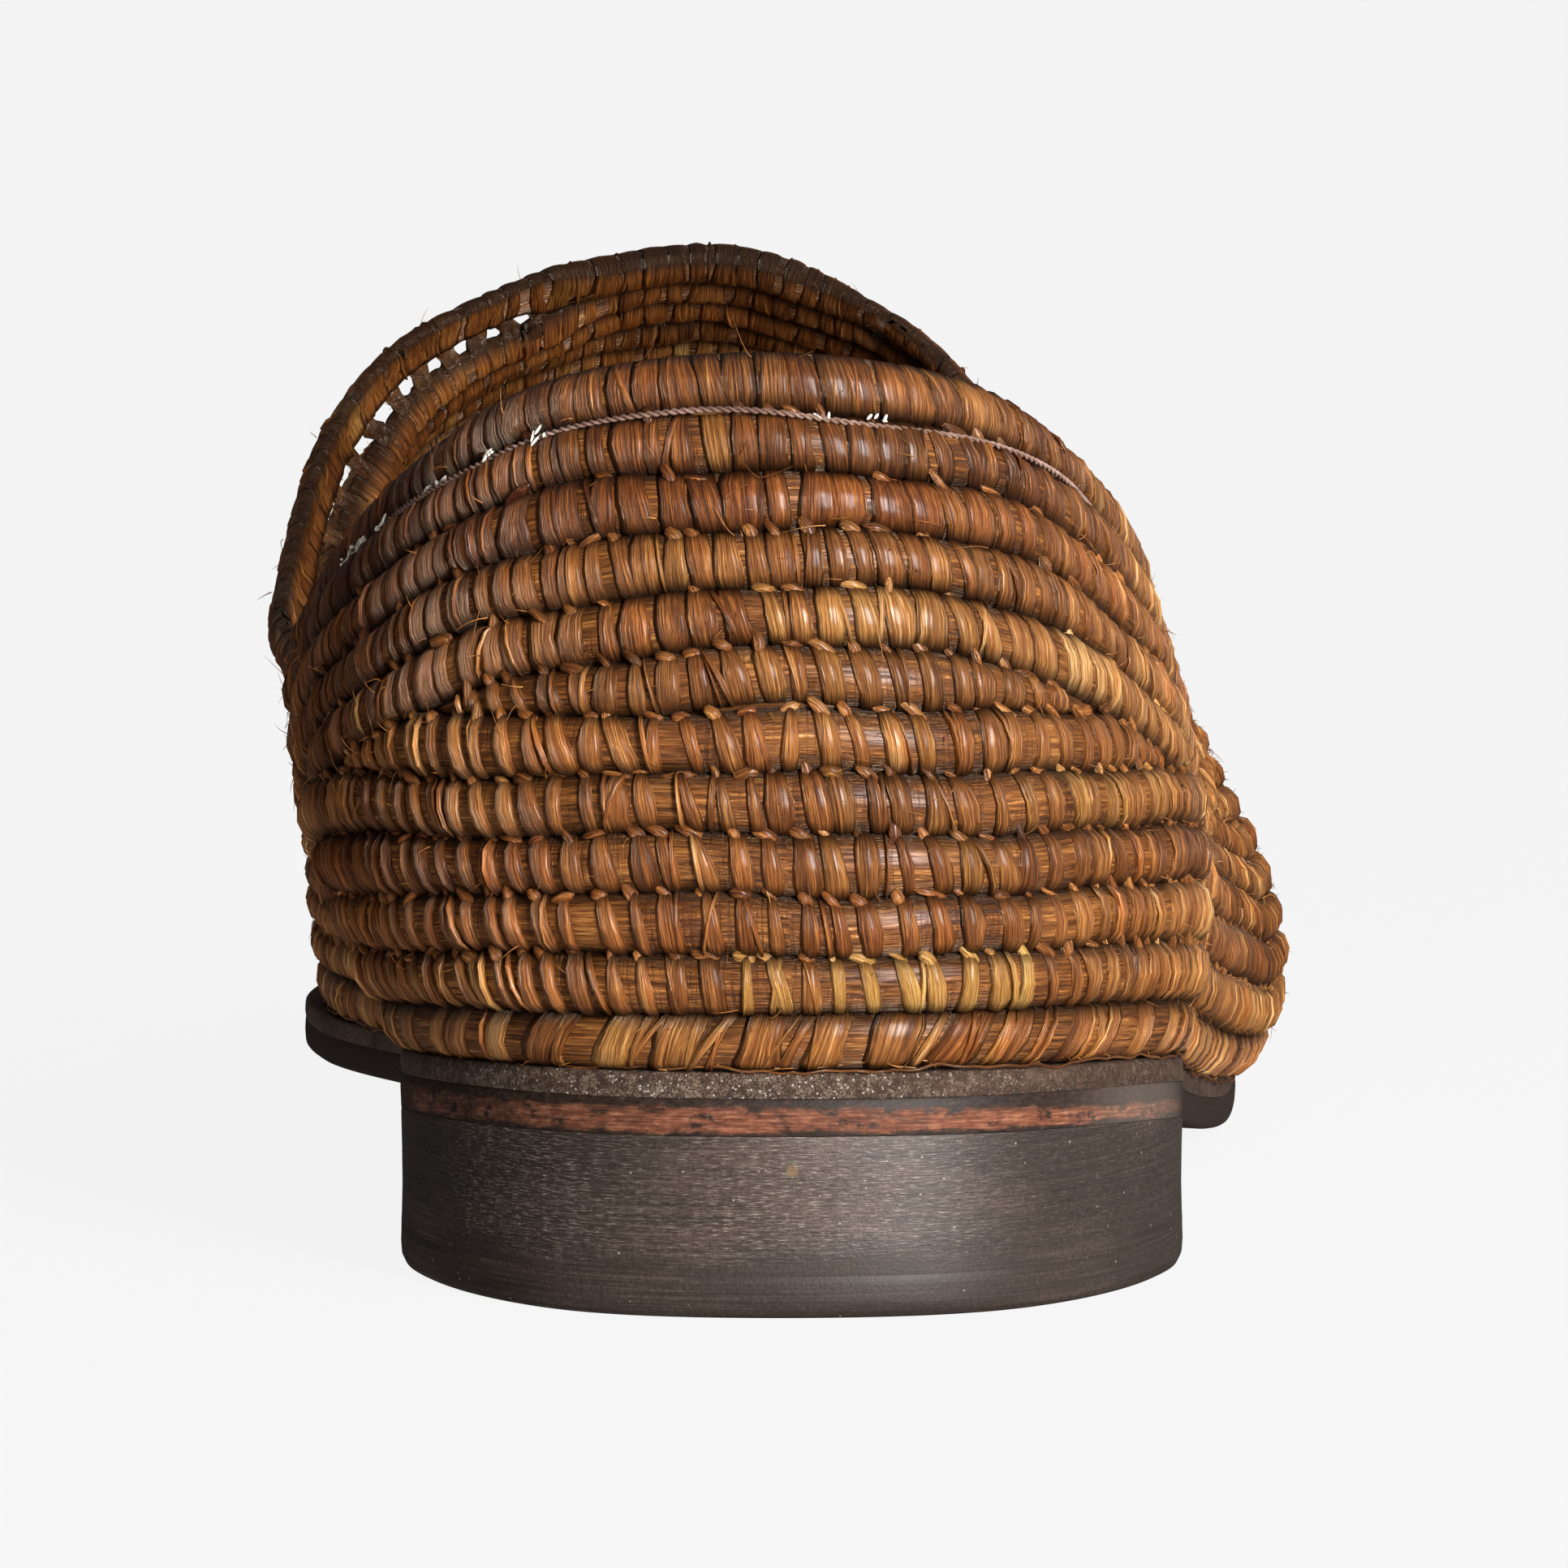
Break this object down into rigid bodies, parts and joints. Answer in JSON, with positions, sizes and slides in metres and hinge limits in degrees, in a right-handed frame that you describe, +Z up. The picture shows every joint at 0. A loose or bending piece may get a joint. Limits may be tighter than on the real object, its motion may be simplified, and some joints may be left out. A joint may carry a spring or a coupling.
{
  "type": "raffia loafer",
  "caption": "Right slip-on loafer with a hollow upper of coiled raffia on a layered leather sole with a low dark stacked heel",
  "frame": {"origin": "centre of the bounding box in plan, on the floor that the sole stands on", "axes": "+Y from heel to toe, +X towards the little toe, +Z up"},
  "size_m": [0.0938, 0.2663, 0.0794],
  "materials": {
    "raffia": "brown raffia strips wound round coils, waxy and lightly worn",
    "raffia_rope": "raffia rope with broad slanting wraps",
    "insole_leather": "plain tan leather, smooth",
    "midsole_leather": "dull grey-brown edge, dusty",
    "outsole_leather": "dark dyed edge worn to copper",
    "heel_leather": "near-black dyed stack, satin, brushed along its length",
    "lift_rubber": "plain matt dark rubber"
  },
  "bodies": {
    "root": {"upper": "raffia", "foundation_coil": "raffia_rope", "insole": "insole_leather", "midsole": "midsole_leather", "outsole": "outsole_leather", "heel_stack": "heel_leather", "heel_lift": "lift_rubber"}
  },
  "joints": []
}
